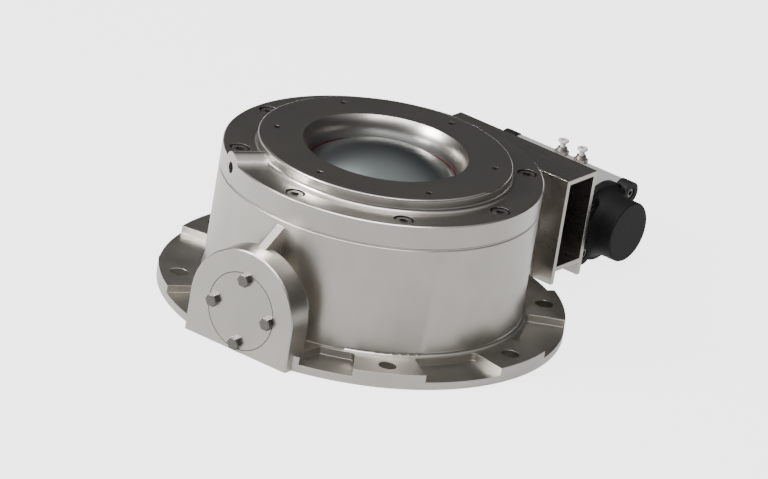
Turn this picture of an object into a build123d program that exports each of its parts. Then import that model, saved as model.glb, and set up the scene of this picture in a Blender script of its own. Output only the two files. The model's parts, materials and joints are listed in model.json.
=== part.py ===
from build123d import *
import math
import os

# A dome valve with a quarter-turn air actuator, in millimetres.
# The origin is the centre of the outlet flange's lower face. The flow comes down along Z.
# The dome turns on the shaft axis, which runs along X, with the actuator on the +X side.

# Clearances
seal_gap = 0.6  # between the dome's polished face and the seal at rest, before it is inflated
run_gap = 0.05  # radial, a shaft in its bush
fit_gap = 0.02  # radial, a pressed or located fit
thread_gap = 0.05  # radial, a screw in its tapped hole
lip_gap = 0.08  # radial, a seal lip round a shaft
washer_gap = 0.1  # on each side of a thrust washer

# Dome and throat
shaft_z = 42
dome_r = 125
dome_t = 8
cap_angle = 45  # from the dome's pole to the edge of its cap
arm_w = 72
hub_r = 30
hub_in = 7  # from the dome's radius to the hub's outer face
hub_l = 28
throat_r = 75
throat_flare = 7.4
dome_pin_r = 4
dome_pin_in = 3  # how far each end of the pin lies inside the hub

# Casing
dome_room = 22
wall_t = 12.3
land_gap = 4  # between the dome and the land under the top plate
land_h = 20
seal_top_to_joint = 14.35
flange_w = 43.7
flange_t = 8
pad_h = 7.6
pad_half = 10.3  # degrees
boss_pad_in = 3.5  # degrees, from the boss's side on the wall to the pad's side
pocket_ledge = 4.2
pocket_corner = 5
foot_fillet = 4
flange_holes = 8
flange_hole_r = 9
flange_hole_in = 19.4  # from the rim to the bolt circle
stud_r = 7
stud_depth = 14.2
joint_chamfer = 1.4

# Trunnion bosses, one at each end of the shaft axis
boss_r = 62.5
boss_proud = 1
boss_fillet_most = 14  # less where the joint is nearer
boss_edge = 1.2
inner_boss_r = 34
rib_t = 9
rib_foot_in = 17  # from the boss's face to the rib's foot
rib_drop = 6.4  # from the joint down to the rib's upper end

# Top plate
plate_rim_t = 24.9
disc_h = 13.7
disc_in = 32.9  # from the rim to the raised disc's wall
disc_fillet = 5
disc_edge = 2
rim_chamfer = 1
plate_screws = 8
plate_screw_in = 15.4
plate_screw_r = 5
plate_head_r = 8
plate_head_h = 10
plate_bore_r = 10
plate_bore_depth = 11
plate_screw_bite = 22
inlet_holes = 6
inlet_hole_r = 3.4
inlet_hole_in = 17.4
inlet_hole_depth = 18
air_boss_angle = 147
air_boss_r = 16
air_boss_drop = 8.3  # from the rim's upper face to the boss's axis
air_port_r = 5.7
air_port_depth = 24
air_way_r = 2.5

# Inflatable seal and its clamp ring
seal_w = 17
seal_h = 9.25
seal_pocket_w = 5
seal_pocket_h = 4
clamp_w = 43.5
clamp_t = 8
clamp_sphere_gap = 1.2
clamp_screws = 8
clamp_screw_r = 2.5
clamp_head_r = 4.8
clamp_head_h = 2.5
clamp_screw_in = 12.5
clamp_screw_l = 16
gasket_w = 4
gasket_t = 2.5
gasket_in = 2.5

# Shaft line
shaft_r = 17.5
washer_t = 2.8
bush_t = 5
bush_l = 40
bush_in = 2
shaft_seal_t = 3
shaft_seal_l = 9.8
cover_r = 39
cover_t = 12
cover_gap = 0.4
cover_bolts = 4
cover_bolt_circle = 33.4
cover_bolt_r = 4
cover_head_af = 13
cover_head_h = 6.5
cover_bolt_l = 26
idle_end_gap = 2
gland_screw_circle = 32.5
gland_screw_turn = 45  # degrees, clear of the tapped hole under the boss
gland_screw_r = 3
gland_screw_l = 24
gland_head_r = 5.5
gland_head_h = 3

# Actuator bracket, a welded box
bracket_w = 50
bracket_half_l = 86
bracket_t = 5
bracket_top = 113.2
bracket_foot = 0.5
bracket_floor = 19
bracket_shaft_hole = 22
bracket_bolt_circle = 51
bracket_bolt_angle = 14
bracket_bolt_l = 18
bracket_bolt_r = 4

# Coupling between the drive shaft and the actuator
stub_r = 12.5
stub_end_gap = 1
coupling_r = 19
coupling_end_gap = 2
coupling_grip = 19
square_w = 14
square_l = 18
key_w = 8
key_h = 7
key_l = 13

# Actuator
housing_w = 91
housing_h = 68
housing_half_l = 66
housing_corner = 7
bore_r = 27
spigot_r = 19
spigot_l = 3
flange_bolt_circle = 25
flange_bolt_r = 3
flange_bolt_head_r = 5
flange_bolt_head_h = 6
flange_bolt_l = 19
port_x = 82.5  # from the mounting face
port_half = 12

# Pinion and racks
tooth_m = 1.5
teeth = 20
pressure = math.radians(20)
backlash = 0.3
rack_shift = 0.15
rack_w = 22
rack_back = 8  # from the pitch line to the rack's back
rack_teeth_before = 2
rack_teeth_after = 6
rack_tip = 32
journal_r = 14.8
journal_bush_t = 2.2
journal_bush_l = 15
gear_l = 30
neck_r = 12
top_journal_r = 11
top_bush_t = 2.2
top_bush_l = 14
stub_l = 9
stub_flat = 14
circlip_t = 1.2
circlip_w = 2.6
circlip_gap = 0.1

# Pistons
piston_in = 36
piston_t = 10
piston_gap = 0.4
ring_gap = 0.05
ring_w = 4
ring_depth = 2.6

# End caps
cap_plate_r = 41.5
cap_plate_t = 7
cap_shoulder_r = 39
cap_barrel_r = 31.5
cap_shoulder_l = 15
cap_l = 40
cap_end_t = 6
cap_edge = 2
cap_chamber_gap = 0.5
lobe_r = 11.8
lobe_x = 33.4
lobe_z = 25
lobe_l = 14
cap_screw_r = 3
cap_screw_head_r = 5
cap_screw_head_h = 6
cap_screw_sink = 7
cap_screw_bite = 15
cap_gasket_t = 1.5
cap_gasket_w = 3

# Push-in air fittings on the actuator's ports
fitting_foot_r = 6.5
fitting_top_r = 4.7
fitting_h = 7
fitting_thread_r = 4.8
fitting_thread_l = 8
sleeve_r = 3
sleeve_bore = 2
sleeve_gap = 0.1
sleeve_in = 4.5
sleeve_room = 2  # the collar's travel, and a little more
collar_r = 5.6
collar_t = 2.6
collar_lift = 5.4

# Heights and radii that follow from the sizes above
seal_top = shaft_z + math.sqrt((dome_r + seal_gap) ** 2 - throat_r ** 2)
joint_z = seal_top - seal_top_to_joint
rim_top = joint_z + plate_rim_t
plate_top = rim_top + disc_h
pad_top = flange_t + pad_h
cavity_r = dome_r + dome_room
body_r = cavity_r + wall_t
land_r = dome_r + land_gap
gasket_r = land_r + gasket_in
flange_r = body_r + flange_w
pocket_r = body_r + pocket_ledge
flange_circle = flange_r - flange_hole_in
disc_r = body_r - disc_in
plate_circle = body_r - plate_screw_in
inlet_circle = disc_r - inlet_hole_in
boss_face = flange_r + boss_proud
boss_fillet = min(boss_fillet_most, joint_z - joint_chamfer - shaft_z - boss_r - 1)
boss_pad_half = math.degrees(math.asin(boss_r / body_r)) - boss_pad_in
hub_out_x = dome_r - hub_in
inner_face = hub_out_x + washer_t + 2 * washer_gap
bush_r = shaft_r + bush_t
seal_seat = inner_face + bush_in + bush_l + bush_in
seal_ring_r = bush_r + shaft_seal_t
cover_seat = boss_face - cover_t
spigot_end = seal_seat + shaft_seal_l
seal_bottom = seal_top - seal_h
seal_out_r = throat_r + seal_w
clamp_out_r = throat_r + clamp_w
clamp_bottom = seal_bottom - clamp_t
clamp_circle = clamp_out_r - clamp_screw_in
bracket_far = boss_face + bracket_w
actuator_x = bracket_far + housing_w / 2
actuator_top = bracket_far + housing_w
pitch_r = tooth_m * teeth / 2
tooth_pitch = math.pi * tooth_m
full_turn = 360
bracket_bolt_angles = (
    bracket_bolt_angle, 180 - bracket_bolt_angle, 180 + bracket_bolt_angle, -bracket_bolt_angle)

shaft_plane = Plane(origin=(0, 0, shaft_z), x_dir=(1, 0, 0), z_dir=(0, -1, 0))
piston_axis = Axis((actuator_x, 0, shaft_z), (0, 1, 0))


def across(x):
    # a plane square to the shaft, with its own x along Y and its own y along Z
    return Plane(origin=(x, 0, shaft_z), x_dir=(0, 1, 0), z_dir=(1, 0, 0))


def outward(side, y):
    # a plane square to the pistons that faces away from the pinion
    return Plane(origin=(actuator_x, side * y, shaft_z), x_dir=(-side, 0, 0), z_dir=(0, side, 0))


def facing(side, x):
    # a plane square to the shaft that faces away from the valve's middle
    return Plane(origin=(side * x, 0, shaft_z), x_dir=(0, side, 0), z_dir=(side, 0, 0))


def spot(plane, radius, angle):
    turn = math.radians(angle)
    return Plane(plane.location * Location((radius * math.cos(turn), radius * math.sin(turn), 0)))


def spots(plane, radius, count, first=0):
    return [spot(plane, radius, first + k * full_turn / count) for k in range(count)]


def tube(plane, length, outer, inner=0, mode=Mode.ADD):
    with BuildSketch(plane) as ring:
        Circle(outer)
        if inner > 0:
            Circle(inner, mode=Mode.SUBTRACT)
    extrude(ring.sketch, amount=length, mode=mode)


def bore(plane, length, radius):
    tube(plane, length, radius, mode=Mode.SUBTRACT)


def prism(plane, length, across_flats, mode=Mode.ADD):
    with BuildSketch(plane) as hexagon:
        RegularPolygon(across_flats / 2, 6, major_radius=False)
    extrude(hexagon.sketch, amount=length, mode=mode)


def taper(low, low_r, high, high_r, mode=Mode.ADD):
    with BuildSketch(low) as low_ring:
        Circle(low_r)
    with BuildSketch(high) as high_ring:
        Circle(high_r)
    loft([low_ring.sketch, high_ring.sketch], mode=mode)


def hex_bolt(seat, radius, length, across_flats, head_h):
    # the head stands on the seat and the shank goes down from it
    tube(seat, -length, radius)
    prism(seat, head_h, across_flats)
    tube(seat, head_h * 1.05, across_flats / 2 - 0.4)


def socket_screw(seat, radius, length, head_r, head_h):
    tube(seat, -length, radius)
    tube(seat, head_h, head_r)
    prism(seat.offset(head_h), -head_h * 0.55, head_r, Mode.SUBTRACT)


def flat_screw(seat, radius, length, head_r, head_h):
    # the head's upper face lies in the seat plane
    tube(seat, -length, radius)
    taper(seat.offset(-head_h), radius, seat, head_r)


def flat_hole(seat, radius, length, head_r, head_h):
    bore(seat, -length, radius)
    taper(seat.offset(-head_h), radius, seat, head_r, Mode.SUBTRACT)


def save(part, name):
    part.part.label = name
    export_step(part.part, "parts/" + name + ".step")


def sphere_height(radius, out):
    # height on a sphere about the shaft axis, at a distance out from the flow axis
    return shaft_z + math.sqrt(radius ** 2 - out ** 2)


def sphere_out(radius, z):
    return math.sqrt(radius ** 2 - (z - shaft_z) ** 2)


def pad_width(k):
    return boss_pad_half if k % (flange_holes // 2) == 0 else pad_half


def points_on(edge):
    return [edge @ t for t in (0, 0.5, 1)]


def lies_on_wall(edge):
    return all(abs(math.hypot(p.X, p.Y) - body_r) < 0.01 for p in points_on(edge))


def lies_on_boss_face(edge):
    return all(abs(abs(p.X) - boss_face) < 0.01 for p in points_on(edge))


def is_circle(radius, z):
    # picks the level circles of one radius at one height
    def same(edge):
        return abs(edge.radius - radius) < 0.01 and abs(edge.arc_center.Z - z) < 0.01
    return same


pitch_angle = full_turn / flange_holes

# Casing: a cylinder on a stepped flange, with a trunnion boss and a rib at each end of the shaft
with BuildPart() as valve_body:
    with BuildSketch(Plane.XZ):
        with BuildLine():
            Polyline(
                (0, 0), (flange_r, 0), (flange_r, pad_top), (body_r, pad_top),
                (body_r, joint_z), (0, joint_z), close=True)
        make_face()
    revolve(axis=Axis.Z)
    for k in range(flange_holes):
        start = math.radians(k * pitch_angle + pad_width(k))
        end = math.radians((k + 1) * pitch_angle - pad_width(k + 1))
        reach = flange_r * 1.3
        with BuildSketch(Plane.XY.offset(flange_t)) as pocket:
            Circle(flange_r + 1)
            Circle(pocket_r, mode=Mode.SUBTRACT)
            Polygon(
                (0, 0), (reach * math.cos(start), reach * math.sin(start)),
                (reach * math.cos(end), reach * math.sin(end)), align=None, mode=Mode.INTERSECT)
            inner = pocket.vertices().filter_by(lambda v: math.hypot(v.X, v.Y) < pocket_r + 1)
            fillet(inner, pocket_corner)
        extrude(amount=pad_h, mode=Mode.SUBTRACT)
    for side in (-1, 1):
        with BuildSketch(facing(side, hub_out_x)):
            Circle(boss_r)
            with Locations((0, -shaft_z / 2)):
                Rectangle(2 * boss_r, shaft_z)
            with Locations((0, -shaft_z - boss_r / 2)):
                Rectangle(2 * boss_r, boss_r, mode=Mode.SUBTRACT)
        extrude(amount=boss_face - hub_out_x)
    feet = valve_body.edges().filter_by(lies_on_wall).filter_by(lambda e: (e @ 0.5).Z < joint_z - 1)
    fillet(feet.filter_by(lambda e: (e @ 0.5).Z > pad_top + 1), boss_fillet)
    feet = valve_body.edges().filter_by(lies_on_wall)
    fillet(feet.filter_by(lambda e: (e @ 0.5).Z < pad_top + 1), foot_fillet)
    rims = valve_body.edges().filter_by(lies_on_boss_face)
    chamfer(rims.filter_by(lambda e: (e @ 0.5).Z > 1), boss_edge)
    rounds = valve_body.edges().filter_by(GeomType.CIRCLE)
    chamfer(rounds.filter_by(is_circle(body_r, joint_z)), joint_chamfer)
    for side in (-1, 1):
        with BuildSketch(Plane.XZ):
            Polygon(
                (side * cavity_r, joint_z - rib_drop), (side * body_r, joint_z - rib_drop),
                (side * (boss_face - rib_foot_in), shaft_z + boss_r - 1),
                (side * cavity_r, shaft_z + boss_r - 1), align=None)
        extrude(amount=rib_t / 2, both=True)
    # the cavity that the dome swings in, with a land under the top plate
    with BuildSketch(Plane.XZ):
        Polygon(
            (0, 0), (cavity_r, 0), (cavity_r, joint_z - land_h - (cavity_r - land_r)),
            (land_r, joint_z - land_h), (land_r, joint_z), (0, joint_z), align=None)
    revolve(axis=Axis.Z, mode=Mode.SUBTRACT)
    for side in (-1, 1):
        tube(facing(side, inner_face), cavity_r - inner_face + wall_t / 2, inner_boss_r)
        bore(facing(side, inner_face), boss_face - inner_face, bush_r + fit_gap)
        bore(facing(side, seal_seat), boss_face - seal_seat, seal_ring_r + fit_gap)
        bore(facing(side, cover_seat), cover_t, cover_r + cover_gap)
    for seat in spots(facing(-1, cover_seat), cover_bolt_circle, cover_bolts):
        bore(seat, -(cover_bolt_l - cover_t + 3), cover_bolt_r + thread_gap)
    for seat in spots(facing(1, cover_seat), gland_screw_circle, cover_bolts, gland_screw_turn):
        bore(seat, -(gland_screw_l - cover_t + 3), gland_screw_r + thread_gap)
    for angle in bracket_bolt_angles:
        seat = spot(facing(1, boss_face), bracket_bolt_circle, angle)
        bore(seat, -bracket_bolt_l, bracket_bolt_r + thread_gap)
    # a stud goes under the drive boss, and the idle cover's lowest bolt takes the room for another
    for k in range(flange_holes):
        seat = spot(Plane.XY, flange_circle, k * pitch_angle)
        if k == 0:
            bore(seat, stud_depth, stud_r)
        elif k != flange_holes // 2:
            bore(seat, pad_top, flange_hole_r)
    for seat in spots(Plane.XY.offset(joint_z), plate_circle, plate_screws):
        bore(seat, -(plate_screw_bite + 4), plate_screw_r + thread_gap)
    tube(Plane.XY.offset(joint_z), -gasket_t, gasket_r + gasket_w, gasket_r, Mode.SUBTRACT)
save(valve_body, "valve_body")

with BuildPart() as joint_gasket:
    tube(Plane.XY.offset(joint_z), -gasket_t, gasket_r + gasket_w - fit_gap, gasket_r + fit_gap)
save(joint_gasket, "joint_gasket")

# Top plate: a rim for the screws, a raised disc for the inlet and a flared throat
throat_mid = (throat_r + throat_flare * 0.24, seal_top + (plate_top - seal_top) * 0.6)
with BuildPart() as top_plate:
    with BuildSketch(Plane.XZ):
        with BuildLine():
            Polyline(
                (throat_r + throat_flare, plate_top), (disc_r, plate_top), (disc_r, rim_top),
                (body_r, rim_top), (body_r, joint_z), (clamp_out_r + fit_gap, joint_z),
                (clamp_out_r + fit_gap, seal_bottom), (seal_out_r + fit_gap, seal_bottom),
                (seal_out_r + fit_gap, seal_top), (throat_r, seal_top))
            ThreePointArc((throat_r, seal_top), throat_mid, (throat_r + throat_flare, plate_top))
        make_face()
    revolve(axis=Axis.Z)
    rounds = top_plate.edges().filter_by(GeomType.CIRCLE)
    chamfer(rounds.filter_by(is_circle(body_r, joint_z)), joint_chamfer)
    rounds = top_plate.edges().filter_by(GeomType.CIRCLE)
    chamfer(rounds.filter_by(is_circle(body_r, rim_top)), rim_chamfer)
    rounds = top_plate.edges().filter_by(GeomType.CIRCLE)
    fillet(rounds.filter_by(is_circle(disc_r, plate_top)), disc_edge)
    # the air boss lies across the rim, with its end flush with the plate's edge
    air_turn = math.radians(air_boss_angle)
    air_out = Vector(math.cos(air_turn), math.sin(air_turn), 0)
    air_side = Vector(-math.sin(air_turn), math.cos(air_turn), 0)
    air_z = rim_top - air_boss_drop
    air_root = Plane(origin=air_out * (disc_r - 2) + Vector(0, 0, air_z), x_dir=air_side, z_dir=air_out)
    with BuildSketch(air_root):
        Circle(air_boss_r)
    extrude(amount=disc_in + 6)
    tube(Plane.XY.offset(joint_z - 30), 90, body_r + 20, body_r, Mode.SUBTRACT)
    rounds = top_plate.edges().filter_by(GeomType.CIRCLE)
    fillet(rounds.filter_by(is_circle(disc_r, rim_top)), disc_fillet)
    air_mouth = Plane(origin=air_out * (body_r + 1) + Vector(0, 0, air_z), x_dir=air_side, z_dir=air_out)
    bore(air_mouth, -air_port_depth, air_port_r)
    bore(air_mouth, -(body_r + 1 - seal_out_r + 2), air_way_r)
    for seat in spots(Plane.XY.offset(rim_top), plate_circle, plate_screws):
        bore(seat, -plate_rim_t, plate_screw_r + 0.5)
        bore(seat, -plate_bore_depth, plate_bore_r)
        bore(seat, disc_h, plate_bore_r)
    for seat in spots(Plane.XY.offset(plate_top), inlet_circle, inlet_holes):
        bore(seat, -inlet_hole_depth, inlet_hole_r)
    for seat in spots(Plane.XY.offset(seal_bottom), clamp_circle, clamp_screws, 22.5):
        bore(seat, clamp_screw_l - clamp_t + 2, clamp_screw_r + thread_gap)
save(top_plate, "top_plate")

with BuildPart() as top_plate_screws:
    for seat in spots(Plane.XY.offset(rim_top - plate_bore_depth), plate_circle, plate_screws):
        length = plate_rim_t - plate_bore_depth + plate_screw_bite
        socket_screw(seat, plate_screw_r, length, plate_head_r, plate_head_h)
save(top_plate_screws, "top_plate_screws")

# Inflatable seal: its face follows the dome, and the air comes in behind it
seal_face_r = dome_r + seal_gap
seal_low_r = sphere_out(seal_face_r, seal_bottom)
seal_mid_r = (throat_r + seal_low_r) / 2
with BuildPart() as inflatable_seal:
    with BuildSketch(Plane.XZ):
        with BuildLine():
            Polyline(
                (throat_r, seal_top), (seal_out_r, seal_top), (seal_out_r, seal_bottom),
                (seal_low_r, seal_bottom))
            ThreePointArc(
                (throat_r, seal_top), (seal_mid_r, sphere_height(seal_face_r, seal_mid_r)),
                (seal_low_r, seal_bottom))
        make_face()
        with Locations((seal_out_r - seal_pocket_w / 2, seal_top - seal_h / 2)):
            Rectangle(seal_pocket_w, seal_pocket_h, mode=Mode.SUBTRACT)
    revolve(axis=Axis.Z)
save(inflatable_seal, "inflatable_seal")

clamp_sphere_r = dome_r + clamp_sphere_gap
clamp_high_r = sphere_out(clamp_sphere_r, seal_bottom)
clamp_low_r = sphere_out(clamp_sphere_r, clamp_bottom)
clamp_mid_r = (clamp_high_r + clamp_low_r) / 2
with BuildPart() as seal_clamp_ring:
    with BuildSketch(Plane.XZ):
        with BuildLine():
            Polyline(
                (clamp_high_r, seal_bottom), (clamp_out_r, seal_bottom), (clamp_out_r, clamp_bottom),
                (clamp_low_r, clamp_bottom))
            ThreePointArc(
                (clamp_high_r, seal_bottom), (clamp_mid_r, sphere_height(clamp_sphere_r, clamp_mid_r)),
                (clamp_low_r, clamp_bottom))
        make_face()
    revolve(axis=Axis.Z)
    below = Plane(origin=(0, 0, clamp_bottom), x_dir=(1, 0, 0), z_dir=(0, 0, -1))
    for seat in spots(below, clamp_circle, clamp_screws, 22.5):
        flat_hole(seat, clamp_screw_r + thread_gap, clamp_t, clamp_head_r + thread_gap, clamp_head_h)
save(seal_clamp_ring, "seal_clamp_ring")

with BuildPart() as clamp_ring_screws:
    for seat in spots(below, clamp_circle, clamp_screws, 22.5):
        flat_screw(seat, clamp_screw_r, clamp_screw_l, clamp_head_r, clamp_head_h)
save(clamp_ring_screws, "clamp_ring_screws")


def pin_plane(side, z):
    return Plane(origin=(side * (hub_out_x - hub_l / 2), 0, z), x_dir=(1, 0, 0), z_dir=(0, 0, 1))


# Dome: a spherical cap carried by two arms that end in hubs on the shaft axis
cap_edge_z = shaft_z + dome_r * math.cos(math.radians(cap_angle))
inner_r = dome_r - dome_t
diag = math.sqrt(0.5)
with BuildPart() as dome:
    with BuildSketch(shaft_plane):
        with BuildLine():
            ThreePointArc((dome_r, 0), (dome_r * diag, dome_r * diag), (0, dome_r))
            Line((0, dome_r), (0, inner_r))
            ThreePointArc((0, inner_r), (inner_r * diag, inner_r * diag), (inner_r, 0))
            Line((inner_r, 0), (dome_r, 0))
        make_face()
    revolve(axis=Axis.Z)
    for side in (-1, 1):
        with BuildSketch(Plane.XY.offset(shaft_z)):
            with Locations((0, side * (arm_w / 2 + dome_r / 2))):
                Rectangle(2.2 * dome_r, dome_r)
        extrude(amount=cap_edge_z - shaft_z, mode=Mode.SUBTRACT)
    for side in (-1, 1):
        tube(facing(side, hub_out_x - hub_l), hub_l, hub_r)
        tube(facing(side, hub_out_x), dome_r - hub_out_x + 1, dome_r / 2, mode=Mode.SUBTRACT)
        bore(facing(side, hub_out_x - hub_l), hub_l, shaft_r + fit_gap)
        bore(pin_plane(side, shaft_z - hub_r), 2 * hub_r - dome_pin_in, dome_pin_r + fit_gap)
save(dome, "dome")

with BuildPart() as dome_pins:
    for side in (-1, 1):
        tube(pin_plane(side, shaft_z - hub_r + dome_pin_in), 2 * (hub_r - dome_pin_in), dome_pin_r)
save(dome_pins, "dome_pins")


stub_start = boss_face + bracket_t - 1
coupling_start = boss_face + bracket_t + coupling_end_gap
coupling_end = bracket_far - bracket_t - coupling_end_gap
stub_end = coupling_start + coupling_grip - stub_end_gap
key_start = coupling_start + 2
with BuildPart() as drive_shaft:
    tube(facing(1, hub_out_x - hub_l), stub_start - hub_out_x + hub_l, shaft_r)
    tube(facing(1, stub_start), stub_end - stub_start, stub_r)
    chamfer(drive_shaft.faces().sort_by(Axis.X)[-1].edges(), 1)
    bore(pin_plane(1, shaft_z - hub_r), 2 * hub_r, dome_pin_r + fit_gap)
    with BuildSketch(across(key_start)):
        with Locations((0, stub_r)):
            Rectangle(key_w + 2 * fit_gap, key_h + 2 * fit_gap)
    extrude(amount=key_l + fit_gap, mode=Mode.SUBTRACT)
save(drive_shaft, "drive_shaft")

with BuildPart() as idle_shaft:
    tube(facing(-1, hub_out_x - hub_l), cover_seat - idle_end_gap - hub_out_x + hub_l, shaft_r)
    chamfer(idle_shaft.faces().sort_by(Axis.X)[0].edges(), 1)
    bore(pin_plane(-1, shaft_z - hub_r), 2 * hub_r, dome_pin_r + fit_gap)
save(idle_shaft, "idle_shaft")

# Bush, thrust washer and shaft seal at each end
for name, side in (("idle", -1), ("drive", 1)):
    with BuildPart() as bush:
        tube(facing(side, inner_face + bush_in), bush_l, bush_r, shaft_r + run_gap)
    save(bush, name + "_bush")
    with BuildPart() as washer:
        tube(facing(side, hub_out_x + washer_gap), washer_t, hub_r, shaft_r + lip_gap)
    save(washer, name + "_thrust_washer")
    with BuildPart() as shaft_seal:
        tube(facing(side, seal_seat), shaft_seal_l, seal_ring_r, shaft_r + lip_gap)
    save(shaft_seal, name + "_shaft_seal")

# Idle cover: a disc flush with the boss, with a spigot that holds the shaft seal
with BuildPart() as idle_cover:
    tube(facing(-1, cover_seat), cover_t, cover_r)
    tube(facing(-1, spigot_end), cover_seat - spigot_end, seal_ring_r)
    bore(facing(-1, spigot_end), cover_seat - spigot_end, shaft_r + 0.5)
    for seat in spots(facing(-1, cover_seat), cover_bolt_circle, cover_bolts):
        bore(seat, cover_t, cover_bolt_r + 0.25)
save(idle_cover, "idle_cover")

with BuildPart() as idle_cover_bolts:
    for seat in spots(facing(-1, boss_face), cover_bolt_circle, cover_bolts):
        hex_bolt(seat, cover_bolt_r, cover_bolt_l, cover_head_af, cover_head_h)
save(idle_cover_bolts, "idle_cover_bolts")

# Drive gland: the same disc with the shaft through it and flat-headed screws under the bracket
with BuildPart() as drive_gland:
    tube(facing(1, cover_seat), cover_t, cover_r)
    tube(facing(1, spigot_end), cover_seat - spigot_end, seal_ring_r)
    bore(facing(1, spigot_end), boss_face - spigot_end, shaft_r + 0.5)
    for seat in spots(facing(1, boss_face), gland_screw_circle, cover_bolts, gland_screw_turn):
        flat_hole(seat, gland_screw_r + thread_gap, cover_t, gland_head_r + thread_gap, gland_head_h)
save(drive_gland, "drive_gland")

with BuildPart() as drive_gland_screws:
    for seat in spots(facing(1, boss_face), gland_screw_circle, cover_bolts, gland_screw_turn):
        flat_screw(seat, gland_screw_r, gland_screw_l, gland_head_r, gland_head_h)
save(drive_gland_screws, "drive_gland_screws")

# Bracket: two side plates, a roof and a floor, open at both ends
with BuildPart() as actuator_bracket:
    middle = boss_face + bracket_w / 2
    inside_w = bracket_w - 2 * bracket_t
    roof = bracket_top - bracket_t
    foot_top = bracket_floor - bracket_t
    with BuildSketch(Plane.XZ):
        with Locations((middle, (bracket_top + bracket_foot) / 2)):
            Rectangle(bracket_w, bracket_top - bracket_foot)
        with Locations((middle, (bracket_floor + roof) / 2)):
            Rectangle(inside_w, roof - bracket_floor, mode=Mode.SUBTRACT)
        with Locations((middle, (foot_top + bracket_foot) / 2)):
            Rectangle(inside_w, foot_top - bracket_foot, mode=Mode.SUBTRACT)
    extrude(amount=bracket_half_l, both=True)
    bore(facing(1, boss_face), bracket_t, bracket_shaft_hole)
    bore(facing(1, bracket_far - bracket_t), bracket_t, spigot_r + thread_gap)
    for angle in bracket_bolt_angles:
        bore(spot(facing(1, boss_face), bracket_bolt_circle, angle), bracket_t, bracket_bolt_r + 0.5)
    for seat in spots(facing(1, bracket_far - bracket_t), flange_bolt_circle, 4, 45):
        bore(seat, bracket_t, flange_bolt_r + 0.3)
save(actuator_bracket, "actuator_bracket")

with BuildPart() as bracket_bolts:
    for angle in bracket_bolt_angles:
        seat = spot(facing(1, boss_face + bracket_t), bracket_bolt_circle, angle)
        hex_bolt(seat, bracket_bolt_r, bracket_bolt_l, cover_head_af, cover_head_h - 1.2)
save(bracket_bolts, "bracket_bolts")

inside = Plane(origin=(bracket_far - bracket_t, 0, shaft_z), x_dir=(0, -1, 0), z_dir=(-1, 0, 0))
with BuildPart() as actuator_bolts:
    for seat in spots(inside, flange_bolt_circle, 4, 45):
        socket_screw(seat, flange_bolt_r, flange_bolt_l, flange_bolt_head_r, flange_bolt_head_h)
save(actuator_bolts, "actuator_bolts")

with BuildPart() as coupling:
    tube(facing(1, coupling_start), coupling_end - coupling_start, coupling_r)
    chamfer(coupling.edges().filter_by(GeomType.CIRCLE), 1)
    bore(facing(1, coupling_start), coupling_grip, stub_r + fit_gap)
    with BuildSketch(across(coupling_start)):
        with Locations((0, stub_r)):
            Rectangle(key_w + 2 * fit_gap, key_h + 2 * fit_gap)
    extrude(amount=coupling_grip, mode=Mode.SUBTRACT)
    with BuildSketch(across(coupling_end)):
        Rectangle(square_w, square_w)
    extrude(amount=square_l)
save(coupling, "coupling")

with BuildPart() as coupling_key:
    with BuildSketch(across(key_start)):
        with Locations((0, stub_r)):
            Rectangle(key_w, key_h)
    extrude(amount=key_l)
save(coupling_key, "coupling_key")

# Actuator housing: an extruded block, bored along Y for the pistons and along X for the pinion
bush_seat_r = journal_r + run_gap + journal_bush_t
top_seat_r = top_journal_r + run_gap + top_bush_t
with BuildPart() as actuator_housing:
    with BuildSketch(outward(1, 0)):
        RectangleRounded(housing_w, housing_h, housing_corner)
    extrude(amount=housing_half_l, both=True)
    tube(facing(1, bracket_far - spigot_l), spigot_l + 1, spigot_r)
    bore(outward(1, -housing_half_l), 2 * housing_half_l, bore_r)
    bore(facing(1, bracket_far - spigot_l), housing_w / 2, bush_seat_r + fit_gap)
    bore(facing(1, actuator_x), housing_w / 2, top_seat_r + fit_gap)
    for seat in spots(facing(1, bracket_far), flange_bolt_circle, 4, 45):
        bore(seat, flange_bolt_l - bracket_t + 1, flange_bolt_r + thread_gap)
    for side in (-1, 1):
        for x in (-lobe_x, lobe_x):
            for z in (-lobe_z, lobe_z):
                seat = Plane(outward(side, housing_half_l).location * Location((x, z, 0)))
                bore(seat, -(cap_screw_bite + 2), cap_screw_r + thread_gap)
        with BuildSketch(Plane.XY.offset(shaft_z + housing_h / 2)):
            with Locations((bracket_far + port_x, side * port_half)):
                Circle(fitting_thread_r + thread_gap)
        extrude(amount=-(fitting_thread_l + 1), mode=Mode.SUBTRACT)
save(actuator_housing, "actuator_housing")

with BuildPart() as pinion_base_bush:
    tube(facing(1, bracket_far), journal_bush_l, bush_seat_r, journal_r + run_gap)
save(pinion_base_bush, "pinion_base_bush")

with BuildPart() as pinion_top_bush:
    tube(facing(1, actuator_top - top_bush_l), top_bush_l, top_seat_r, top_journal_r + run_gap)
save(pinion_top_bush, "pinion_top_bush")


# Pinion: involute teeth, a journal at each end, a square socket and a top stub with flats
def involute(angle):
    return math.tan(angle) - angle


base_r = pitch_r * math.cos(pressure)
tip_r = pitch_r + tooth_m
root_r = pitch_r - 1.25 * tooth_m
half_tooth = (tooth_pitch / 2 - backlash) / (2 * pitch_r)
flank_steps = 4


def flank_point(radius, hand):
    spread = half_tooth + involute(pressure) - involute(math.acos(min(1, base_r / radius)))
    return (radius * math.sin(spread) * hand, radius * math.cos(spread))


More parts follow.
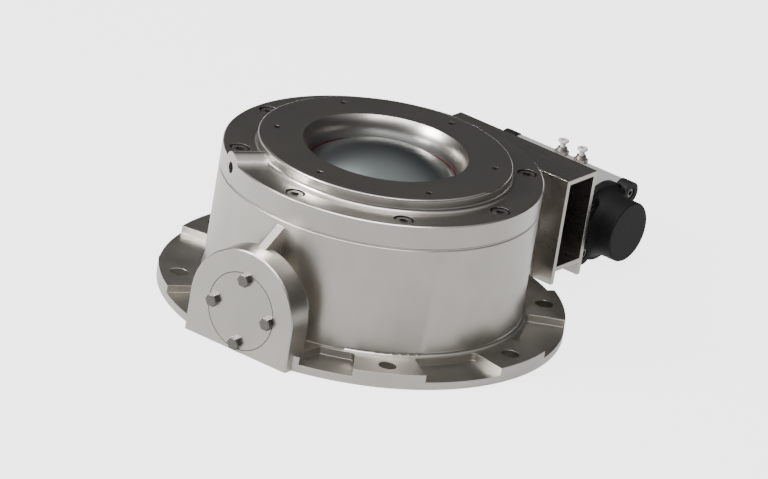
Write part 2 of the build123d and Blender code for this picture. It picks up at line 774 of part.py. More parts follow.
flank_radii = [base_r + (tip_r - base_r) * k / flank_steps for k in range(flank_steps + 1)]
foot_x, foot_y = flank_point(base_r, 1)
shrink = (root_r - 1) / base_r
gear_start = actuator_x - gear_l / 2
with BuildPart() as actuator_pinion:
    tube(facing(1, bracket_far), journal_bush_l + 2, journal_r)
    tube(facing(1, bracket_far), actuator_top - bracket_far, top_journal_r)
    tube(facing(1, bracket_far + journal_bush_l), housing_w - journal_bush_l - top_bush_l, neck_r)
    with BuildSketch(facing(1, gear_start)):
        Circle(root_r)
        with PolarLocations(0, teeth):
            Polygon(
                (-foot_x * shrink, foot_y * shrink),
                *[flank_point(r, -1) for r in flank_radii],
                *[flank_point(r, 1) for r in reversed(flank_radii)],
                (foot_x * shrink, foot_y * shrink), align=None)
    extrude(amount=gear_l)
    with BuildSketch(across(bracket_far)):
        Rectangle(square_w + 0.1, square_w + 0.1)
    extrude(amount=square_l, mode=Mode.SUBTRACT)
    tube(facing(1, actuator_top), stub_l, top_journal_r)
    tube(
        facing(1, actuator_top + circlip_gap), circlip_t + 2 * circlip_gap, top_journal_r,
        top_journal_r - circlip_w / 2, Mode.SUBTRACT)
    with BuildSketch(across(actuator_top + stub_l / 2)):
        Rectangle(3 * top_journal_r, 3 * top_journal_r)
        Rectangle(stub_flat, 3 * top_journal_r, mode=Mode.SUBTRACT)
    extrude(amount=stub_l, mode=Mode.SUBTRACT)
save(actuator_pinion, "actuator_pinion")

with BuildPart() as pinion_circlip:
    with BuildSketch(across(actuator_top + 2 * circlip_gap)):
        Circle(top_journal_r + circlip_w)
        Circle(top_journal_r - circlip_w / 2 + circlip_gap, mode=Mode.SUBTRACT)
        with Locations((0, -top_journal_r)):
            Rectangle(top_journal_r / 2, 2 * circlip_w + 2, mode=Mode.SUBTRACT)
    extrude(amount=circlip_t)
save(pinion_circlip, "pinion_circlip")

# Pistons: each head carries a rack that reaches past the pinion
rack_tip_z = pitch_r - tooth_m + rack_shift
rack_root_z = pitch_r + 1.25 * tooth_m + rack_shift
rack_back_z = pitch_r + rack_back
lean = math.tan(pressure)
gap_half = (tooth_pitch / 2 + backlash) / 2
pitch_line = pitch_r + rack_shift


def rack_side(side, y, z):
    # the front piston's rack lies over the pinion and the rear one's under it
    return (-side * y, -side * z)


for name, side in (("front", -1), ("rear", 1)):
    with BuildPart() as piston:
        tube(outward(side, piston_in), piston_t, bore_r - piston_gap)
        rack_plane = Plane(origin=(actuator_x, 0, shaft_z), x_dir=(0, 1, 0), z_dir=(1, 0, 0))
        with BuildSketch(rack_plane):
            Polygon(
                rack_side(side, -piston_in - 1, rack_tip_z), rack_side(side, rack_tip, rack_tip_z),
                rack_side(side, rack_tip, rack_back_z), rack_side(side, -piston_in - 1, rack_back_z),
                align=None)
            for k in range(-rack_teeth_before, rack_teeth_after + 1):
                y = k * tooth_pitch
                wide = gap_half + (pitch_line - rack_tip_z + 1) * lean
                narrow = gap_half - (rack_root_z - pitch_line) * lean
                Polygon(
                    rack_side(side, y - wide, rack_tip_z - 1), rack_side(side, y + wide, rack_tip_z - 1),
                    rack_side(side, y + narrow, rack_root_z), rack_side(side, y - narrow, rack_root_z),
                    align=None, mode=Mode.SUBTRACT)
        extrude(amount=rack_w / 2, both=True)
        tube(
            outward(side, piston_in + (piston_t - ring_w) / 2), ring_w, bore_r,
            bore_r - ring_depth, Mode.SUBTRACT)
    save(piston, name + "_piston")
    with BuildPart() as ring:
        tube(
            outward(side, piston_in + (piston_t - ring_w) / 2 + fit_gap), ring_w - 2 * fit_gap,
            bore_r - ring_gap, bore_r - ring_depth + fit_gap)
    save(ring, name + "_piston_ring")

# End caps: a plate with four screw lobes, a shoulder and a round barrel for the piston's stroke
chamber_r = bore_r + cap_chamber_gap
for name, side in (("front", -1), ("rear", 1)):
    seat_y = housing_half_l
    with BuildPart() as end_cap:
        tube(outward(side, seat_y), cap_plate_t, cap_plate_r)
        with BuildSketch(outward(side, seat_y)):
            with GridLocations(2 * lobe_x, 2 * lobe_z, 2, 2):
                Circle(lobe_r)
        extrude(amount=lobe_l)
        shoulder = seat_y + cap_plate_t
        barrel = shoulder + cap_shoulder_l
        end = seat_y + cap_l
        sag = (cap_shoulder_r - cap_barrel_r) * 0.25
        with BuildSketch(Plane(origin=(actuator_x, 0, shaft_z), x_dir=(1, 0, 0), z_dir=(0, 0, 1))):
            with BuildLine():
                Polyline(
                    (cap_barrel_r, side * barrel), (cap_barrel_r, side * end), (0, side * end),
                    (0, side * seat_y), (cap_shoulder_r, side * seat_y), (cap_shoulder_r, side * shoulder))
                ThreePointArc(
                    (cap_shoulder_r, side * shoulder),
                    (cap_barrel_r + sag, side * (shoulder + barrel) / 2),
                    (cap_barrel_r, side * barrel))
            make_face()
        revolve(axis=piston_axis)
        ends = end_cap.edges().filter_by(GeomType.CIRCLE)
        ends = ends.filter_by(lambda e: abs(abs(e.arc_center.Y) - end) < 0.01)
        fillet(ends, cap_edge)
        bore(outward(side, seat_y), cap_l - cap_end_t, chamber_r)
        tube(
            outward(side, seat_y), cap_gasket_t, chamber_r + 2 + cap_gasket_w, chamber_r + 2,
            Mode.SUBTRACT)
        for x in (-lobe_x, lobe_x):
            for z in (-lobe_z, lobe_z):
                seat = Plane(outward(side, seat_y + lobe_l).location * Location((x, z, 0)))
                bore(seat, -lobe_l, cap_screw_r + 0.25)
                bore(seat, -cap_screw_sink, cap_screw_head_r + 0.4)
    save(end_cap, name + "_end_cap")
    with BuildPart() as cap_gasket:
        tube(
            outward(side, seat_y), cap_gasket_t, chamber_r + 2 + cap_gasket_w - fit_gap,
            chamber_r + 2 + fit_gap)
    save(cap_gasket, name + "_cap_gasket")
    with BuildPart() as cap_screws:
        for x in (-lobe_x, lobe_x):
            for z in (-lobe_z, lobe_z):
                seat = Plane(outward(side, seat_y + lobe_l - cap_screw_sink).location * Location((x, z, 0)))
                length = lobe_l - cap_screw_sink + cap_screw_bite
                socket_screw(seat, cap_screw_r, length, cap_screw_head_r, cap_screw_head_h)
    save(cap_screws, name + "_cap_screws")

# Push-in fittings: a tapered body screwed into each port, with a collar that slides to release the hose
port_z = shaft_z + housing_h / 2
for name, side in (("front", -1), ("rear", 1)):
    port = Plane(origin=(bracket_far + port_x, side * port_half, port_z), x_dir=(1, 0, 0), z_dir=(0, 0, 1))
    with BuildPart() as fitting:
        prism(port, fitting_h / 2, 2 * fitting_foot_r)
        taper(port.offset(fitting_h / 2), fitting_foot_r - 0.4, port.offset(fitting_h), fitting_top_r)
        tube(port, -fitting_thread_l, fitting_thread_r)
        sleeve_low = fitting_h - sleeve_in - sleeve_room
        bore(port.offset(sleeve_low), fitting_h - sleeve_low, sleeve_r + sleeve_gap)
        bore(port.offset(-fitting_thread_l), fitting_thread_l + fitting_h, sleeve_bore)
    save(fitting, name + "_port_fitting")
    with BuildPart() as release_collar:
        tube(port.offset(fitting_h - sleeve_in), sleeve_in + collar_lift, sleeve_r, sleeve_bore)
        tube(port.offset(fitting_h + collar_lift), collar_t, collar_r, sleeve_bore)
        rims = release_collar.edges().filter_by(GeomType.CIRCLE)
        rims = rims.filter_by(lambda e: abs(e.radius - collar_r) < 0.01)
        fillet(rims, 1)
    save(release_collar, name + "_release_collar")
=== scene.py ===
import json
import math

import bmesh
import bpy
from mathutils import Matrix, Vector


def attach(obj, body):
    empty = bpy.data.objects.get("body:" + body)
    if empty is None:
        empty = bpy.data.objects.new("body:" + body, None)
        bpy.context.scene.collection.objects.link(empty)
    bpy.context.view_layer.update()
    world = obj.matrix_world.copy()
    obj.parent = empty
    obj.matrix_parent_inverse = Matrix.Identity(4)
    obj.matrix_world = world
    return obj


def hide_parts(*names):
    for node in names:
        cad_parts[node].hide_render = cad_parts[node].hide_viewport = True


# A dome valve with a quarter-turn air actuator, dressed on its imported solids.
# Metres, Z up. The flow comes down along Z and the dome turns about X.

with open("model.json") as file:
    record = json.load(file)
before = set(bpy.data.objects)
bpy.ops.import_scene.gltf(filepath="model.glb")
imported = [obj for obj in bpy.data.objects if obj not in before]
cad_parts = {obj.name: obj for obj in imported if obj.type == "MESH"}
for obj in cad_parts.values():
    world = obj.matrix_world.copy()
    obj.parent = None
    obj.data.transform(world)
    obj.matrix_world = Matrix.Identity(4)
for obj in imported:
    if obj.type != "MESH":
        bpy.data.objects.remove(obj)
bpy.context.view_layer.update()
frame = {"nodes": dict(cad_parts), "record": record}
nodes = frame["nodes"]
print("frame loaded with", len(nodes), "nodes")

mm = 0.001
shaftHeight = 42 * mm
creaseAngle = math.radians(24)  # edges sharper than this stay sharp in the shading


def hexColour(code):
    # sRGB hex to the linear values that the shader takes
    parts = [int(code[i:i + 2], 16) / 255 for i in (1, 3, 5)]
    return [p / 12.92 if p <= 0.04045 else ((p + 0.055) / 1.055) ** 2.4 for p in parts] + [1]


def outward(azimuth, elevation):
    # the direction from the valve to something at these angles, in degrees
    turn, rise = math.radians(azimuth), math.radians(elevation)
    return Vector((math.cos(turn) * math.cos(rise), math.sin(turn) * math.cos(rise), math.sin(rise)))


def addNode(tree, kind, inputs=None, **settings):
    # adds one node, with its settings, and its inputs as values or as links from other nodes
    node = tree.nodes.new(kind)
    for name, value in settings.items():
        setattr(node, name, value)
    for name, value in (inputs or {}).items():
        if isinstance(value, bpy.types.NodeSocket):
            tree.links.new(value, node.inputs[name])
        else:
            node.inputs[name].default_value = value
    return node


def newMaterial(name, **values):
    # a material with one shader, whose constants are set on its own sockets
    material = bpy.data.materials.new(name)
    material.use_nodes = True
    shader = material.node_tree.nodes["Principled BSDF"]
    for socket, value in values.items():
        shader.inputs[socket.replace("_", " ")].default_value = value
    return material, material.node_tree, shader


def place(tree):
    return addNode(tree, "ShaderNodeTexCoord").outputs["Object"]


def newPiece(name, bm):
    mesh = bpy.data.meshes.new(name)
    bm.to_mesh(mesh)
    bm.free()
    piece = bpy.data.objects.new(name, mesh)
    bpy.context.scene.collection.objects.link(piece)
    return piece


# Camera, at the photograph's angle and with its long lens
view = {
    "azimuth": -146.587,  # of the camera round the valve, from +X
    "elevation": 22.639,
    "roll": 9.587,
    "target": (-12.16 * mm, -23.67 * mm, 80 * mm),
    "distance": 9.8084,
    "farClip": 100,
    "imageWidth": 768,
    "focalPixels": 10000,
    "sensor": 36,
}


def makeCamera():
    back = outward(view["azimuth"], view["elevation"])
    camera = bpy.data.objects.new("camera", bpy.data.cameras.new("camera"))
    bpy.context.scene.collection.objects.link(camera)
    look = (-back).to_track_quat("-Z", "Y").to_matrix()
    camera.matrix_world = Matrix.LocRotScale(
        Vector(view["target"]) + back * view["distance"],
        look @ Matrix.Rotation(math.radians(view["roll"]), 3, "Z"), None)
    camera.data.sensor_width = view["sensor"]
    camera.data.lens = view["sensor"] * view["focalPixels"] / view["imageWidth"]
    camera.data.clip_end = view["farClip"]
    bpy.context.scene.camera = camera


makeCamera()
print("camera placed")

# Studio: a pale floor that the walls mirror, a dark far side that the top faces mirror
studio = {
    "floorColour": "#e9e9e9",
    "floorLit": 0.25,  # the share of its colour that it shows under the lamps
    "floorRoughness": 0.9,
    "floorGlow": 0.9,  # what the metal mirrors
    "floorSeen": 3.9,  # what the eye sees
    "floorSize": 60,
    "floorShade": (188 * mm, 203 * mm),  # painted shadow: the floor's glow fades out under the flange, so the floor is dark there
    "backAzimuth": 56,  # the side behind the valve, where the floor glows more
    "backReach": (-0.2, 0.9),
    "backGlow": (1.0, 2.6),
    "skyRise": (0.45, 1.0),  # from where the sky is dark to overhead
    "skyGlow": (0.05, 1.0),
    "lampTarget": (0, 0, 100 * mm),
}

lamps = {
    "key": {"azimuth": 146, "elevation": 34, "distance": 3.2, "size": (1.0, 1.0), "power": 200},
    "front": {"azimuth": -150, "elevation": 62, "distance": 3.4, "size": (3.2, 1.6), "power": 120},
    "rim": {"azimuth": 100, "elevation": 60, "distance": 3.2, "size": (2.0, 1.2), "power": 18},
}


def floorMaterial():
    # plain matt paper, whose glow differs for the eye and for the metal that mirrors it
    colour = hexColour(studio["floorColour"])
    material, tree, shader = newMaterial(
        "pale floor", Roughness=studio["floorRoughness"], Specular_IOR_Level=0, Emission_Color=colour,
        Base_Color=[c * studio["floorLit"] for c in colour[:3]] + [1])
    behind = addNode(tree, "ShaderNodeVectorMath", {
        0: place(tree), 1: outward(studio["backAzimuth"], 0)}, operation="DOT_PRODUCT")
    more = addNode(tree, "ShaderNodeMapRange", {
        "Value": behind.outputs["Value"],
        "From Min": studio["backReach"][0], "From Max": studio["backReach"][1],
        "To Min": studio["backGlow"][0], "To Max": studio["backGlow"][1]})
    mirrored = addNode(tree, "ShaderNodeMath", {
        0: more.outputs["Result"], 1: studio["floorGlow"]}, operation="MULTIPLY")
    glow = addNode(tree, "ShaderNodeMapRange", {
        "Value": addNode(tree, "ShaderNodeLightPath").outputs["Is Camera Ray"],
        "To Min": mirrored.outputs["Value"], "To Max": studio["floorSeen"]})
    out = addNode(tree, "ShaderNodeVectorMath", {0: place(tree)}, operation="LENGTH")
    # painted shadow under the flange: the glow drops to nothing inside the floorShade radii
    shade = addNode(tree, "ShaderNodeMapRange", {
        "Value": out.outputs["Value"],
        "From Min": studio["floorShade"][0], "From Max": studio["floorShade"][1]})
    strength = addNode(tree, "ShaderNodeMath", {
        0: glow.outputs["Result"], 1: shade.outputs["Result"]}, operation="MULTIPLY")
    tree.links.new(strength.outputs["Value"], shader.inputs["Emission Strength"])
    return material


def makeFloor():
    bm = bmesh.new()
    bmesh.ops.create_grid(bm, x_segments=1, y_segments=1, size=studio["floorSize"] / 2)
    floor = newPiece("floor", bm)
    floor.data.materials.append(floorMaterial())


def makeSky():
    world = bpy.data.worlds.new("studio")
    bpy.context.scene.world = world
    world.use_nodes = True
    tree = world.node_tree
    background = tree.nodes["Background"]
    background.inputs["Color"].default_value = (1, 1, 1, 1)
    direction = addNode(tree, "ShaderNodeTexCoord").outputs["Generated"]
    height = addNode(tree, "ShaderNodeSeparateXYZ", {"Vector": direction}).outputs["Z"]
    glow = addNode(tree, "ShaderNodeMapRange", {
        "Value": height, "From Min": studio["skyRise"][0], "From Max": studio["skyRise"][1],
        "To Min": studio["skyGlow"][0], "To Max": studio["skyGlow"][1]}, interpolation_type="SMOOTHSTEP")
    tree.links.new(glow.outputs["Result"], background.inputs["Strength"])


def makeLamp(name):
    spec = lamps[name]
    back = outward(spec["azimuth"], spec["elevation"])
    lamp = bpy.data.lights.new(name, "AREA")
    lamp.shape = "RECTANGLE"
    lamp.size, lamp.size_y = spec["size"]
    lamp.energy = spec["power"]
    light = bpy.data.objects.new(name, lamp)
    bpy.context.scene.collection.objects.link(light)
    light.matrix_world = Matrix.LocRotScale(
        Vector(studio["lampTarget"]) + back * spec["distance"], (-back).to_track_quat("-Z", "Y"), None)


makeFloor()
makeSky()
for lampName in lamps:
    makeLamp(lampName)
print("studio lit")

# What all the finishes share
surface = {
    "grainSpan": (0.3, 0.7),  # where most of a noise texture's values lie
    "edgeSamples": 6,
}


def roundedEdge(tree, radius):
    # soft worn edges, read by the shader only
    return addNode(
        tree, "ShaderNodeBevel", {"Radius": radius}, samples=surface["edgeSamples"]).outputs["Normal"]


def varyTone(tree, shader, code, grain, tones):
    # the grain moves the colour between two shares of itself
    low, high = surface["grainSpan"]
    share = addNode(tree, "ShaderNodeMapRange", {
        "Value": grain, "From Min": low, "From Max": high, "To Min": tones[0], "To Max": tones[1]})
    colour = addNode(tree, "ShaderNodeVectorMath", {
        0: hexColour(code)[:3], "Scale": share.outputs["Result"]}, operation="SCALE")
    tree.links.new(colour.outputs["Vector"], shader.inputs["Base Color"])


def varyGloss(tree, shader, grain, roughness, span=surface["grainSpan"]):
    # the grain moves the roughness between two values
    rough = addNode(tree, "ShaderNodeMapRange", {
        "Value": grain, "From Min": span[0], "From Max": span[1],
        "To Min": roughness[0], "To Max": roughness[1]})
    tree.links.new(rough.outputs["Result"], shader.inputs["Roughness"])


cast = {
    "colour": "#b9b5ae",
    "tones": (0.93, 1.04),
    "roughness": (0.30, 0.34),
    "cloudSize": 45 * mm,
    "blastSize": 2.5 * mm,  # coarser than the real grit so that it shows
    "blastDepth": 0.15 * mm,
    "blastStrength": 0.12,
    "edge": 0.7 * mm,  # the rounding that shows on a cast edge
}


def castStainless():
    # stainless casting, glass-bead blasted: satin, slightly cloudy, with a fine tooth
    material, tree, shader = newMaterial("cast stainless", Metallic=1)
    where = place(tree)
    cloud = addNode(tree, "ShaderNodeTexNoise", {
        "Vector": where, "Scale": 1 / cast["cloudSize"], "Detail": 3}).outputs["Fac"]
    blast = addNode(tree, "ShaderNodeTexNoise", {
        "Vector": where, "Scale": 1 / cast["blastSize"], "Detail": 4}).outputs["Fac"]
    varyTone(tree, shader, cast["colour"], cloud, cast["tones"])
    varyGloss(tree, shader, cloud, cast["roughness"])
    bump = addNode(tree, "ShaderNodeBump", {
        "Height": blast, "Strength": cast["blastStrength"], "Distance": cast["blastDepth"],
        "Normal": roundedEdge(tree, cast["edge"])})
    tree.links.new(bump.outputs["Normal"], shader.inputs["Normal"])
    return material


turned = {
    "colour": "#b4b0aa",
    "tones": (0.95, 1.03),
    "roughness": (0.276, 0.284),
    "cloudSize": 45 * mm,
    "ringSpacing": 2.6 * mm,  # coarser than the real turning marks so that they show
    "ringWander": 0.3,
    "edge": 0.3 * mm,
}


def turnedStainless():
    # stainless turned on a lathe: satin with faint rings round the flow axis
    material, tree, shader = newMaterial("turned stainless", Metallic=1)
    where = place(tree)
    cloud = addNode(tree, "ShaderNodeTexNoise", {
        "Vector": where, "Scale": 1 / turned["cloudSize"], "Detail": 3}).outputs["Fac"]
    # the wave texture goes through 20 radians in a length of one over its scale
    rings = addNode(
        tree, "ShaderNodeTexWave",
        {"Vector": where, "Scale": math.tau / 20 / turned["ringSpacing"], "Distortion": turned["ringWander"],
         "Detail": 2}, wave_type="RINGS", rings_direction="Z").outputs["Fac"]
    varyTone(tree, shader, turned["colour"], cloud, turned["tones"])
    varyGloss(tree, shader, rings, turned["roughness"], span=(0, 1))
    tree.links.new(roundedEdge(tree, turned["edge"]), shader.inputs["Normal"])
    return material


brushed = {
    "colour": "#b0aca6",
    "tones": (0.975, 1.015),
    "roughness": (0.27, 0.30),
    "lineWidth": 1.5 * mm,  # coarser than the real brushing so that it shows
    "stretch": (1, 0.03, 1),  # the lines run along Y
    "edge": 0.8 * mm,
}


def brushedPlate():
    # cold-rolled stainless plate, brushed along its length
    material, tree, shader = newMaterial("brushed stainless plate", Metallic=1)
    along = addNode(tree, "ShaderNodeMapping", {"Vector": place(tree), "Scale": brushed["stretch"]})
    lines = addNode(tree, "ShaderNodeTexNoise", {
        "Vector": along.outputs["Vector"], "Scale": 1 / brushed["lineWidth"], "Detail": 4}).outputs["Fac"]
    varyTone(tree, shader, brushed["colour"], lines, brushed["tones"])
    varyGloss(tree, shader, lines, brushed["roughness"])
    tree.links.new(roundedEdge(tree, brushed["edge"]), shader.inputs["Normal"])
    return material


mottle = {"detail": 5, "strength": 0.4}


def mottled(name, code, metallic, roughness, spread, grain, relief, edge=0.5 * mm):
    # one colour with small changes of tone, roughness and height at one grain size
    material, tree, shader = newMaterial(name, Metallic=metallic)
    noise = addNode(tree, "ShaderNodeTexNoise", {
        "Vector": place(tree), "Scale": 1 / grain, "Detail": mottle["detail"]}).outputs["Fac"]
    varyTone(tree, shader, code, noise, (1 - spread, 1 + spread))
    varyGloss(tree, shader, noise, (roughness * (1 - spread), roughness * (1 + spread)))
    bump = addNode(tree, "ShaderNodeBump", {
        "Height": noise, "Strength": mottle["strength"], "Distance": relief,
        "Normal": roundedEdge(tree, edge)})
    tree.links.new(bump.outputs["Normal"], shader.inputs["Normal"])
    return material


def polishedDome():
    # stainless sphere, polished by hand: half bright with faint cloudy wipe marks
    return mottled(
        "polished stainless dome", "#74797a", metallic=1, roughness=0.34, spread=0.04, grain=60 * mm,
        relief=0.02 * mm)


def redSealRubber():
    # moulded food-grade silicone, dark red and matt
    return mottled(
        "red silicone rubber", "#40121a", metallic=0, roughness=0.55, spread=0.08, grain=3 * mm,
        relief=0.05 * mm)


def blackRubber():
    # moulded nitrile rubber: black and matt
    return mottled(
        "black nitrile rubber", "#1b1b1b", metallic=0, roughness=0.6, spread=0.1, grain=3 * mm,
        relief=0.05 * mm)


def blackOxide():
    # alloy steel screws, black oxide: dark, half gloss, a little rubbed
    return mottled(
        "black oxide steel", "#6e6c68", metallic=1, roughness=0.42, spread=0.12, grain=2.5 * mm,
        relief=0.05 * mm, edge=0.35 * mm)


def bearingBronze():
    # sintered and turned bronze: warm and satin
    return mottled(
        "bearing bronze", "#b08a4e", metallic=1, roughness=0.4, spread=0.08, grain=2 * mm,
        relief=0.03 * mm)


def anodisedAluminium():
    # extruded aluminium, clear anodised: pale and satin
    return mottled(
        "clear anodised aluminium", "#f3f3f2", metallic=1, roughness=0.5, spread=0.02, grain=4 * mm,
        relief=0.02 * mm, edge=0.4 * mm)


def groundSteel():
    # cut and ground gear steel: grey and fairly bright
    return mottled(
        "ground gear steel", "#a3a3a4", metallic=1, roughness=0.32, spread=0.06, grain=2 * mm,
        relief=0.02 * mm, edge=0.3 * mm)


def powderCoat():
    # black polyester powder coat on die-cast aluminium: matt, with a little orange peel
    material = mottled(
        "black powder coat", "#0d0d0d", metallic=0, roughness=0.6, spread=0.07, grain=2.2 * mm,
        relief=0.08 * mm, edge=0.8 * mm)
    material.node_tree.nodes["Principled BSDF"].inputs["Specular IOR Level"].default_value = 0.22
    return material


def nickelPlate():
    # brass fitting, nickel plated: too small to show relief or worn edges
    return mottled(
        "nickel-plated brass", "#7d7775", metallic=1, roughness=0.45, spread=0.03, grain=3 * mm,
        relief=0, edge=0)


def collarPlastic():
    # moulded acetal, off white, on the same small fittings
    return mottled(
        "moulded acetal", "#b3abac", metallic=0, roughness=0.4, spread=0.03, grain=3 * mm,
        relief=0, edge=0)


makers = {
    "cast_stainless": castStainless,
    "turned_stainless": turnedStainless,
    "polished_dome": polishedDome,
    "red_rubber": redSealRubber,
    "black_rubber": blackRubber,
    "dark_steel": blackOxide,
    "bearing_bronze": bearingBronze,
    "bracket_stainless": brushedPlate,
    "anodised_aluminium": anodisedAluminium,
    "pinion_steel": groundSteel,
    "black_coating": powderCoat,
    "plated_brass": nickelPlate,
    "collar_plastic": collarPlastic,
}
materials = {slot: make() for slot, make in makers.items()}


def dressNodes():
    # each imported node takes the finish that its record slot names
    for part in frame["record"]["subparts"]:
        piece, slot = nodes[part["node"]], part["material_slot"]
        piece.data.materials.clear()
        piece.data.materials.append(materials[slot])


def joinCasing(piece, slot):
    # a new piece of the fixed casing, with the finish of one slot
    piece.data.materials.clear()
    piece.data.materials.append(materials[slot])
    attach(piece, "casing")


def smoothShade(piece):
    piece.data.polygons.foreach_set("use_smooth", [True] * len(piece.data.polygons))
    piece.data.set_sharp_from_angle(angle=creaseAngle)


dressNodes()
print("nodes dressed")

# Casting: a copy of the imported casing, with the neck shaped behind each trunnion plate
neck = {
    "radius": 44 * mm,
    "plateBack": 178 * mm,  # from the valve's middle to the back of the plate
    "wallRadius": 159.33 * mm,
    "wallSegments": 360,
    "wallDepth": 500 * mm,  # taller than the cut
    "overlap": 5 * mm,  # how far the cut starts inside the wall's circle
    "ledge": 15.62 * mm,  # height of the flange's pads
    "top": 120 * mm,
    "half": 82 * mm,  # half the width of the cut, past the fillets
    "ribHalf": 4.5 * mm,
    "arcSteps": 24,
    "mergeDistance": 0.001 * mm,
}


def cutAway(piece, cutter):
    # takes the cutter's space out of the piece, and leaves no modifier behind
    tool = piece.modifiers.new("cut", "BOOLEAN")
    tool.operation, tool.solver, tool.object = "DIFFERENCE", "EXACT", cutter
    before = piece.data
    piece.data = bpy.data.meshes.new_from_object(
        piece.evaluated_get(bpy.context.evaluated_depsgraph_get()))
    piece.modifiers.clear()
    bpy.data.meshes.remove(before)
    bpy.data.objects.remove(cutter)


def neckCutter(side, hand):
    # the space beside the neck, between the casing's wall and the plate's back
    low, high, radius, wall = neck["ledge"], neck["top"], neck["radius"], neck["wallRadius"]
    outline = [(neck["half"], high), (neck["half"], low), (radius, low)]
    last = math.acos(neck["ribHalf"] / radius)
    for k in range(neck["arcSteps"] + 1):
        turn = last * k / neck["arcSteps"]
        outline.append((radius * math.cos(turn), shaftHeight + radius * math.sin(turn)))
    outline.append((neck["ribHalf"], high))
    start = wall * math.cos(math.asin(neck["half"] / wall)) - neck["overlap"]
    bm = bmesh.new()
    face = bm.faces.new([bm.verts.new((side * start, hand * y, z)) for y, z in outline])
    made = bmesh.ops.extrude_face_region(bm, geom=[face])
    grown = [v for v in made["geom"] if isinstance(v, bmesh.types.BMVert)]
    bmesh.ops.translate(bm, vec=(side * (neck["plateBack"] - start), 0, 0), verts=grown)
    bmesh.ops.recalc_face_normals(bm, faces=bm.faces)
    cutter = newPiece("neckSpace", bm)
    bm = bmesh.new()
    bmesh.ops.create_cone(
        bm, cap_ends=True, segments=neck["wallSegments"], radius1=wall, radius2=wall,
        depth=neck["wallDepth"])
    cutAway(cutter, newPiece("wall", bm))
    return cutter


def makeCasting():
    bm = bmesh.new()
    bm.from_mesh(nodes["valve_body"].data)
    bmesh.ops.remove_doubles(bm, verts=bm.verts, dist=neck["mergeDistance"])
    casting = newPiece("shapedCasting", bm)
    casting.data.attributes.remove(casting.data.attributes["custom_normal"])  # they don't outlast the cuts
    for side in (-1, 1):
        for hand in (-1, 1):
            cutAway(casting, neckCutter(side, hand))
    smoothShade(casting)
    joinCasing(casting, "cast_stainless")
    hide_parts("valve_body")


makeCasting()
print("casting shaped")


def turnOutline(corners, steps):
    # a closed outline of radius and height, turned about Z
    bm = bmesh.new()
    verts = [bm.verts.new((radius, 0, z)) for radius, z in corners]
    edges = [bm.edges.new((verts[k - 1], verts[k])) for k in range(len(verts))]
    bmesh.ops.spin(
        bm, geom=verts + edges, cent=(0, 0, 0), axis=(0, 0, 1), angle=math.tau, steps=steps, use_merge=True)
    return bm


def makeRing(name, corners, slot, steps):
    bm = turnOutline(corners, steps)
    bmesh.ops.recalc_face_normals(bm, faces=bm.faces)
    ring = newPiece(name, bm)
    smoothShade(ring)
    joinCasing(ring, slot)


# The seal's lip, which shows as a thin band in the throat over the dome
lip = {"radius": 75 * mm, "halfWidth": 0.35 * mm, "low": 142.2 * mm, "high": 144.6 * mm, "steps": 180}


def makeLip():
    inner, outer = lip["radius"] - lip["halfWidth"], lip["radius"] + lip["halfWidth"]
    low, high = lip["low"], lip["high"]
    corners = [(inner, low), (outer, low), (outer, high), (inner, high)]
    makeRing("sealLip", corners, "red_rubber", lip["steps"])


# The top plate's lower corner, square where the casing's is chamfered
plateEdge = {"radius": 159.3 * mm, "joint": 128.4 * mm, "size": 1 * mm, "steps": 180}


def makePlateEdge():
    radius, joint, size = plateEdge["radius"], plateEdge["joint"], plateEdge["size"]
    corners = [(radius, joint), (radius, joint + size), (radius - size, joint)]
    makeRing("plateEdge", corners, "turned_stainless", plateEdge["steps"])


makeLip()
makePlateEdge()
print("seal lip and plate edge made")
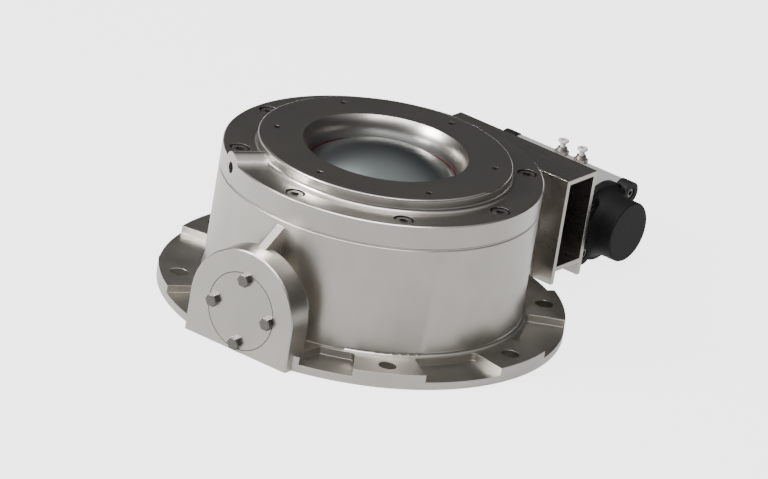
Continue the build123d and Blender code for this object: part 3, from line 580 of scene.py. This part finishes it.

# The idle cover's bolts, and a thin black ring round the cover, a dark line of painted shade where the gap
# is
cover = {
    "face": -204 * mm,  # the boss's face, across the shaft
    "bolts": 4,
    "boltCircle": 33.4 * mm,
    "headAcross": 12 * mm,
    "headHeight": 5.5 * mm,
    "headChamfer": 0.9 * mm,
    "headSegments": 2,
    "boltRadius": 4 * mm,
    "boltLength": 26 * mm,
    "boltSides": 32,
    "lineRadii": (38.9 * mm, 39.7 * mm),
    "lineDepth": 3 * mm,
    "lineProud": 0.03 * mm,
    "lineSteps": 96,
}


def turnToShaft(bm):
    # what was made about Z, with Z = 0 on the boss's face, goes about the shaft and faces -X
    bmesh.ops.rotate(bm, cent=(0, 0, 0), matrix=Matrix.Rotation(-math.pi / 2, 3, "Y"), verts=bm.verts)
    bmesh.ops.translate(bm, vec=(cover["face"], 0, shaftHeight), verts=bm.verts)


def addBolt(bm, spot):
    # a chamfered hexagon head on the face, and its shank below
    corner = cover["headAcross"] / 2 / math.cos(math.pi / 6)
    middle, radius, length = cover["headHeight"] / 2, cover["boltRadius"], cover["boltLength"]
    made = bmesh.ops.create_cone(
        bm, cap_ends=True, segments=6, radius1=corner, radius2=corner, depth=cover["headHeight"],
        matrix=Matrix.Translation(spot + Vector((0, 0, middle))))
    head = made["verts"]
    top = [e for e in bm.edges if all(v in head and v.co.z > middle for v in e.verts)]
    bmesh.ops.bevel(
        bm, geom=top, offset=cover["headChamfer"], segments=cover["headSegments"], affect="EDGES",
        profile=0.5, material=-1)
    bmesh.ops.create_cone(
        bm, cap_ends=True, segments=cover["boltSides"], radius1=radius, radius2=radius, depth=length,
        matrix=Matrix.Translation(spot - Vector((0, 0, length / 2))))


def makeCoverBolts():
    bm = bmesh.new()
    for k in range(cover["bolts"]):
        turn = k * math.tau / cover["bolts"]
        addBolt(bm, Vector((math.cos(turn), math.sin(turn), 0)) * cover["boltCircle"])
    turnToShaft(bm)
    bolts = newPiece("coverBolts", bm)
    joinCasing(bolts, "dark_steel")
    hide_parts("idle_cover_bolts")


# painted shade: a thin black ring, just proud of the boss's face, stands for the shade of the gap round the
# cover
def makeCoverLine():
    inside, outside = cover["lineRadii"]
    top, bottom = cover["lineProud"], -cover["lineDepth"]
    corners = [(inside, bottom), (outside, bottom), (outside, top), (inside, top)]
    bm = turnOutline(corners, cover["lineSteps"])
    turnToShaft(bm)
    bmesh.ops.recalc_face_normals(bm, faces=bm.faces)
    joinCasing(newPiece("coverGapShade", bm), "black_rubber")


makeCoverBolts()
makeCoverLine()
print("cover bolts and gap shade line made")
